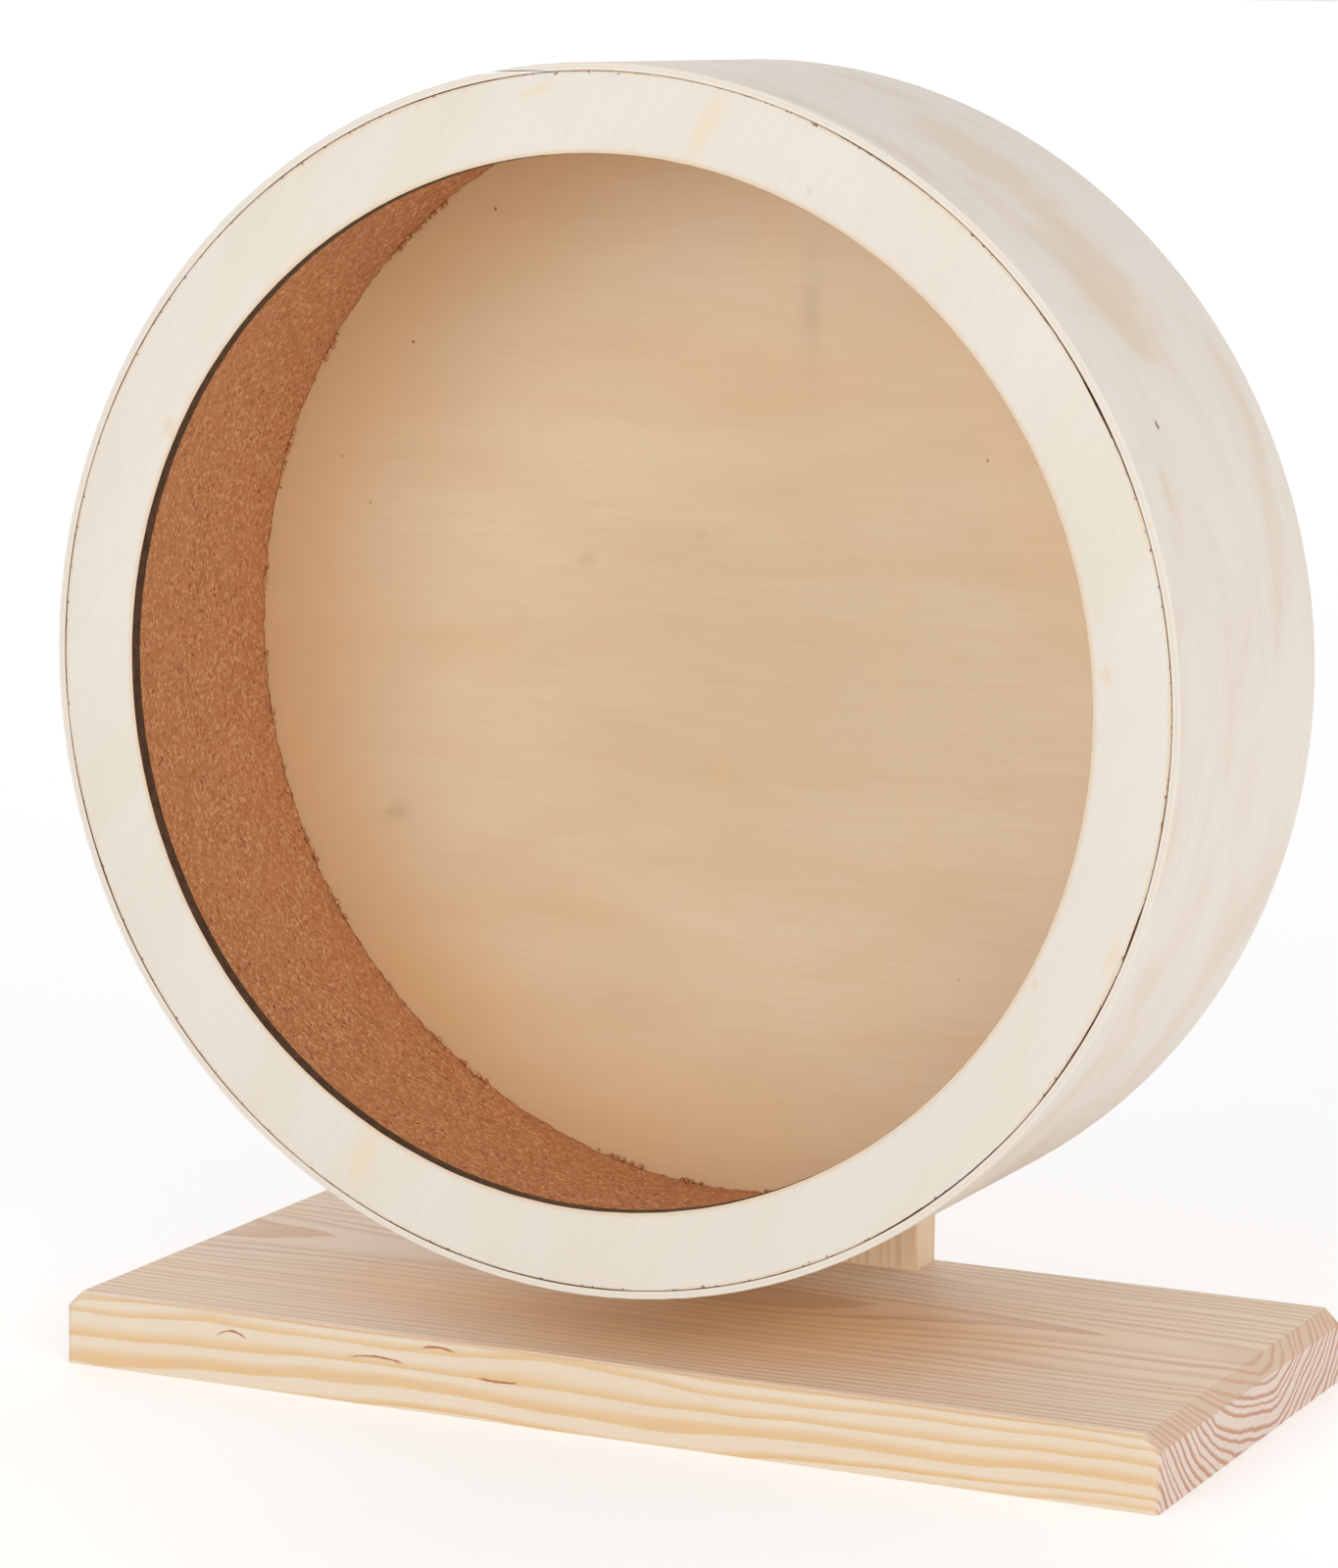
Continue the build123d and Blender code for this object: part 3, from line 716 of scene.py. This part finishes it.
cork = {
    "middle": (0.62, 0.285, 0.125, 1), "light": (0.84, 0.52, 0.29, 1), "dark": (0.33, 0.12, 0.05, 1),
    "bark": (0.10, 0.04, 0.022, 1), "granule": 1.5,
    # sheet: thickness in mm, faces round and along it, angle of its seam in degrees
    "thickness": 4.0, "columns": 880, "rows": 80, "seam": -70.0,
    # rough surface in mm: size and depth of the grains, of the torn back edge, and how far each reaches
    "grainSize": 1.1, "grainDepth": 0.34, "edgeSize": 2.1, "edgeDepth": 1.1,
    "skin": 0.3, "edgeReach": 2.8, "frontFade": 2.0,
    # loose crumbs: how many, radius and roughness in mm, sizes against the first, seeds of shape and place
    "crumbs": 230, "crumbRadius": 0.5, "crumbRough": 0.16, "crumbSizes": (0.35, 1.15), "seeds": (4, 23),
    # angles where they gather, how many more such places, spread round each in degrees
    "nests": [131.9, 135.3, 149.7, 176.1], "moreNests": 60, "spread": 1.1,
    # how far they lie off the cork and off the panel at most, in mm
    "offCork": 0.55, "offPanel": 0.9,
}


def corkMaterial():
    made, tree, shader = newMaterial("corkGranules", 0.85, 0.2)
    place = placeInMm(tree)
    grains = addNode(tree, "TexVoronoi", {"Vector": stretched(tree, place, (1, 1.5, 1)),
                                          "Scale": cork["granule"], "Randomness": 1.0})
    pick = addNode(tree, "SeparateColor", {0: grains.outputs["Color"]})
    fine = noiseAt(tree, place, 3.0, 3.0, 0.6)
    colour = mixColor(tree, smooth(tree, pick.outputs[0], 0.5, 0.95), cork["middle"], cork["light"])
    colour = mixColor(tree, smooth(tree, pick.outputs[1], 0.75, 0.98, 0.0, 0.7), colour, cork["dark"])
    colour = mixColor(tree, smooth(tree, pick.outputs[2], 0.985, 0.99, 0.0, 0.8), colour, cork["bark"])
    colour = mixColor(tree, smooth(tree, fine, 0.35, 0.65, 0.4, 0.0), colour, cork["dark"])
    patches = noiseAt(tree, place, 0.06, 3.0)
    colour = mixColor(tree, smooth(tree, patches, 0.3, 0.7, 0.25, 0.0), colour, cork["middle"])
    feed(tree, shader.inputs["Base Color"], colour)
    hollow = calc(tree, "MULTIPLY", grains.outputs["Distance"], -0.8)
    height = calc(tree, "MULTIPLY_ADD", fine, 0.5, hollow)
    feed(tree, shader.inputs["Normal"], bumpFrom(tree, height, 0.7, 0.0003))
    return made


corkInner = (corkHigh.z - corkLow.z) / 2 - cork["thickness"] * mm


def buildCork(material):
    bpy.ops.object.select_all(action="DESELECT")
    length = corkHigh.y - corkLow.y
    centre = (0, (corkHigh.y + corkLow.y) / 2, axleZ)
    columns = cork["columns"]
    bpy.ops.mesh.primitive_cylinder_add(
        vertices=columns, radius=corkInner, depth=length, end_fill_type="NOTHING",
        location=centre, rotation=(math.pi / 2, 0, 0))
    piece = bpy.context.object
    piece.name = "corkLining"
    bpy.ops.object.transform_apply(location=True, rotation=True, scale=True)
    near = 360 / columns * 0.6

    def openSeam(shape):
        # the one long face nearest the seam comes out, which leaves the sheet's butt joint open
        choose(shape, [f for f in shape.faces
                       if abs(angleOf(f.calc_center_median()) - cork["seam"]) < near][:1])
        bpy.ops.mesh.delete(type="FACE")

    def splitLengthwise(shape):
        choose(shape, [e for e in shape.edges if abs(e.verts[0].co.y - e.verts[1].co.y) > length / 2])
        bpy.ops.mesh.subdivide(number_cuts=cork["rows"] - 1)

    def addWall(shape):
        choose(shape, [e for e in shape.edges if len(e.link_faces) == 1])
        grow = (corkInner + cork["thickness"] * mm) / corkInner
        bpy.ops.mesh.extrude_edges_move()
        bpy.ops.transform.resize(value=(grow, 1, grow), center_override=centre)

    def closeBack(shape):
        choose(shape, [e for e in shape.edges if len(e.link_faces) == 1
                       and abs(e.verts[0].co.y - e.verts[1].co.y) < length / 4])
        bpy.ops.mesh.bridge_edge_loops()

    inEdit(openSeam, "FACE")
    inEdit(splitLengthwise)
    inEdit(addWall)
    inEdit(closeBack)
    inEdit(mendMesh)
    bpy.ops.object.shade_smooth()

    def onInside(point):
        away = math.hypot(point.x, point.z - axleZ)
        return 1.0 if away < corkInner + cork["skin"] * mm else 0.0

    def nearBack(point):
        return onInside(point) * max(0.0, 1 - (corkHigh.y - point.y) / (cork["edgeReach"] * mm))

    def behindFront(point):
        # the grains fade out at the front edge, which lies on the ring
        return onInside(point) * min(1.0, (point.y - corkLow.y) / (cork["frontFade"] * mm))

    addGroup(piece, "grains", behindFront)
    addGroup(piece, "backEdge", nearBack)
    ruffle(piece, "grains", cork["grainSize"] * mm, cork["grainDepth"] * mm, 0.62, 2)
    ruffle(piece, "backEdge", cork["edgeSize"] * mm, cork["edgeDepth"] * mm, 0.55, 3)
    piece.vertex_groups.clear()
    crumbs = buildCrumbs()
    bpy.ops.object.select_all(action="DESELECT")
    for crumb in crumbs:
        crumb.select_set(True)
    piece.select_set(True)
    bpy.context.view_layer.objects.active = piece
    bpy.ops.object.join()
    finishPiece(piece, "corkLining", material, "wheel", "cork", "cork_liner")


def buildCrumbs():
    # one loose crumb, copied into the corner between the cork and the panel
    bpy.ops.object.select_all(action="DESELECT")
    bpy.ops.mesh.primitive_ico_sphere_add(subdivisions=2, radius=cork["crumbRadius"] * mm)
    first = bpy.context.object
    bpy.ops.object.mode_set(mode="EDIT")
    bpy.ops.mesh.select_all(action="SELECT")
    shapeSeed, placeSeed = cork["seeds"]
    bpy.ops.transform.vertex_random(offset=cork["crumbRough"] * mm, seed=shapeSeed)
    bpy.ops.object.mode_set(mode="OBJECT")
    bpy.ops.object.shade_smooth()
    chance = random.Random(placeSeed)
    nests = [chance.uniform(0, 360) for nest in range(cork["moreNests"])] + cork["nests"] * 4
    made = [first]
    for number in range(1, cork["crumbs"]):
        crumb = bpy.data.objects.new("crumb", first.data.copy())
        scene.collection.objects.link(crumb)
        made.append(crumb)
    for crumb in made:
        angle = math.radians(chance.choice(nests) + chance.gauss(0, cork["spread"]))
        size = chance.uniform(*cork["crumbSizes"])
        away = corkInner - chance.uniform(0.0, cork["offCork"]) * mm
        ahead = chance.uniform(0.0, cork["offPanel"]) * mm
        crumb.location = (away * math.cos(angle), panelLow.y - ahead, axleZ + away * math.sin(angle))
        crumb.rotation_euler = [chance.uniform(0, 6.28) for axis in range(3)]
        crumb.scale = (size * chance.uniform(0.8, 1.3), size * 0.85, size)
    return made


# Turned hub

hubWood = {
    "pale": (0.66, 0.48, 0.31, 1), "dark": (0.50, 0.33, 0.19, 1), "fleck": (0.36, 0.21, 0.11, 1),
    "pith": (160.0, 40.0), "lean": 0.02, "veer": 0.0, "spacing": 3.4, "uneven": 1.5, "wander": 5.0,
    "ripple": 0.8, "lateStart": 0.2,
}


def hubMaterial():
    made, tree, shader = newMaterial("hubBeech", 0.55, 0.35)
    place = placeInMm(tree)
    ringsOut = logRings(tree, place, hubWood)
    lines = useGroup(tree, fibre, {"Vector": place})
    flecks = noiseAt(tree, stretched(tree, place, (0.45, 4.0, 4.0)), 1.0, 1.0)
    late = calc(tree, "MULTIPLY", ringsOut["Late"], 0.55)
    colour = mixColor(tree, late, hubWood["pale"], hubWood["dark"])
    colour = mixColor(tree, smooth(tree, flecks, 0.62, 0.7, 0.0, 0.5), colour, hubWood["fleck"])
    colour = mixColor(tree, smooth(tree, lines["Cloud"], 0.4, 0.8, 0.0, 0.4), colour, hubWood["dark"])
    feed(tree, shader.inputs["Base Color"], colour)
    feed(tree, shader.inputs["Roughness"], calc(tree, "MULTIPLY_ADD", lines["Lines"], 0.2, 0.45))
    feed(tree, shader.inputs["Normal"], bumpFrom(tree, lines["Lines"], 0.4, 0.0001))
    return made


# Metals and nylon

metals = {
    # slot: name, tint, darker tint, roughness, how fine its scratches are each way
    "zinc_steel": ("zincPlate", (0.62, 0.62, 0.60, 1), (0.50, 0.50, 0.49, 1), 0.34, (4, 4, 4)),
    "bearing_steel": ("groundSteel", (0.60, 0.60, 0.60, 1), (0.52, 0.52, 0.53, 1), 0.2, (1, 12, 1)),
    "shield_steel": ("pressedShield", (0.46, 0.46, 0.47, 1), (0.36, 0.36, 0.37, 1), 0.4, (3, 3, 3)),
}
nylonLook = {"grey": (0.72, 0.71, 0.66, 1), "pale": (0.80, 0.79, 0.75, 1)}


def metalMaterial(name, tint, dark, roughness, scratch):
    made, tree, shader = newMaterial(name, roughness, 0.5)
    shader.inputs["Metallic"].default_value = 1.0
    place = placeInMm(tree)
    cloud = noiseAt(tree, place, 0.5, 4.0, 0.6)
    fine = noiseAt(tree, stretched(tree, place, scratch), 1.0, 3.0, 0.6)
    colour = mixColor(tree, smooth(tree, cloud, 0.35, 0.7), tint, dark)
    feed(tree, shader.inputs["Base Color"], colour)
    rough = calc(tree, "ADD", calc(tree, "MULTIPLY_ADD", fine, 0.25, roughness - 0.12),
                 calc(tree, "MULTIPLY", cloud, 0.1))
    feed(tree, shader.inputs["Roughness"], rough)
    feed(tree, shader.inputs["Normal"], bumpFrom(tree, fine, 0.25, 0.00004))
    return made


def nylonMaterial():
    made, tree, shader = newMaterial("naturalNylon", 0.42, 0.5)
    place = placeInMm(tree)
    cloud = noiseAt(tree, place, 0.8, 3.0)
    colour = mixColor(tree, cloud.outputs[0], nylonLook["grey"], nylonLook["pale"])
    feed(tree, shader.inputs["Base Color"], colour)
    feed(tree, shader.inputs["Roughness"], calc(tree, "MULTIPLY_ADD", cloud, 0.15, 0.35))
    feed(tree, shader.inputs["Normal"], bumpFrom(tree, noiseAt(tree, place, 6.0, 2.0), 0.2, 0.00003))
    return made


# Finishes, by node for the wood and cork and by slot for the rest

finishes = {
    "base_board": pineMaterial("boardPine", board), "upright_post": pineMaterial("postPine", post),
    "rim_band": bandMaterial(), "front_ring": ringMaterial(), "back_panel": panelMaterial(),
    "cork_liner": corkMaterial(), "hub_block": hubMaterial(),
}
slotFinish = {slot: metalMaterial(*look) for slot, look in metals.items()}
slotFinish["nylon"] = nylonMaterial()
slotOf = {part["node"]: part["material_slot"] for part in frame["record"]["subparts"]}


def finishNodes():
    for name, made in nodes.items():
        material = finishes.get(name) or slotFinish[slotOf[name]]
        for slot in made.material_slots:
            slot.material = material


finishNodes()
print("materials on", len(nodes), "nodes")
buildCork(finishes["cork_liner"])
buildRing(finishes["front_ring"])
print("cork lining and front ring modelled")


# Floor, lights and camera

stage = {
    # floor: width in m, depth below the board in mm, two tints of its clouded grey
    "size": 400.0, "sink": 0.05, "tint": (0.93, 0.93, 0.935, 1), "shade": (0.90, 0.90, 0.905, 1),
    # its own glow, and the distances in mm over which that rises
    "nearGlow": 0.225, "farGlow": 0.5, "near": 1000.0, "far": 4500.0,
    # sky: light at the horizon and above it
    "horizonLight": 0.86, "worldLight": 0.66, "skyTint": (1.0, 0.99, 0.985, 1),
}


def buildStage():
    bpy.ops.mesh.primitive_plane_add(size=stage["size"], location=(0, 0, -stage["sink"] * mm))
    floor = bpy.context.object
    floor.name = "paleFloor"
    made, tree, shader = newMaterial("paleFloor", 0.8, 0.2)
    place = placeInMm(tree)
    cloud = noiseAt(tree, place, 0.004, 2.0)
    feed(tree, shader.inputs["Base Color"], mixColor(tree, cloud.outputs[0], stage["tint"], stage["shade"]))
    shader.inputs["Emission Strength"].default_value = 1.0
    away = addNode(tree, "VectorMath", {0: place}, operation="LENGTH").outputs["Value"]
    shine = smooth(tree, away, stage["near"], stage["far"], stage["nearGlow"], stage["farGlow"])
    feed(tree, shader.inputs["Emission Color"], mixColor(tree, shine, (0, 0, 0, 1), (1, 1, 1, 1)))
    # seen from below, the floor is clear, so that the underside shows
    below = addNode(tree, "NewGeometry").outputs["Backfacing"]
    surface = addNode(tree, "MixShader", {0: below, 1: shader, 2: addNode(tree, "BsdfTransparent")})
    feed(tree, tree.nodes["Material Output"].inputs["Surface"], surface)
    floor.data.materials.append(made)
    world = bpy.data.worlds.new("softStudio")
    world.use_nodes = True
    sky = world.node_tree
    ray = addNode(sky, "TexCoord").outputs["Generated"]
    height = addNode(sky, "SeparateXYZ", {0: ray}).outputs["Z"]
    glow = smooth(sky, height, 0.0, 0.3, stage["horizonLight"], stage["worldLight"])
    glow = mixColor(sky, glow, (0, 0, 0, 1), stage["skyTint"])
    feed(sky, sky.nodes["Background"].inputs["Color"], glow)
    scene.world = world


lamps = {
    # name: (place, target, width, height, watts, colour)
    "keyFront": ((-0.2, -2.4, 0.75), (0, 0, 0.12), 1.9, 1.5, 18, (1.0, 0.965, 0.925)),
    "fillRight": ((1.8, -1.6, 0.8), (0, 0, 0.12), 1.4, 1.4, 14, (1.0, 0.975, 0.94)),
    "topSoft": ((0.1, 0.1, 2.2), (0, 0, 0.1), 1.8, 1.8, 2.5, (0.93, 0.95, 1.0)),
    "backLeft": ((-1.3, 1.9, 1.4), (0, 0, 0.12), 1.2, 1.2, 6, (1.0, 1.0, 1.0)),
}


def buildLamps():
    for name, (place, target, width, height, watts, colour) in lamps.items():
        light = bpy.data.lights.new(name, "AREA")
        light.shape = "RECTANGLE"
        light.size = width
        light.size_y = height
        light.energy = watts
        light.color = colour
        lamp = bpy.data.objects.new(name, light)
        scene.collection.objects.link(lamp)
        lamp.location = place
        lamp.rotation_mode = "QUATERNION"
        lamp.rotation_quaternion = (Vector(target) - Vector(place)).to_track_quat("-Z", "Y")


# the photograph's camera, as fitted: angles in radians, lens and sensor in mm, near and far limit in m
shot = {"place": (0.40210, -0.88064, 0.25928), "yaw": 0.43624, "pitch": -0.15049, "roll": 0.01312,
        "lens": 120.73, "sensor": 36.0, "near": 0.05, "far": 600.0}


def buildCamera():
    lens = bpy.data.cameras.new("photoCamera")
    lens.sensor_width = shot["sensor"]
    lens.lens = shot["lens"]
    lens.clip_start = shot["near"]
    lens.clip_end = shot["far"]
    camera = bpy.data.objects.new("photoCamera", lens)
    scene.collection.objects.link(camera)
    camera.location = shot["place"]
    camera.rotation_mode = "QUATERNION"
    level = Matrix.Rotation(shot["yaw"], 3, "Z") @ Matrix.Rotation(math.pi / 2 + shot["pitch"], 3, "X")
    camera.rotation_quaternion = level.to_quaternion() @ Quaternion((0, 0, 1), shot["roll"])
    scene.camera = camera


buildStage()
buildLamps()
buildCamera()
scene.view_settings.view_transform = "Standard"
scene.view_settings.look = "None"
print("stage, lamps and camera set")
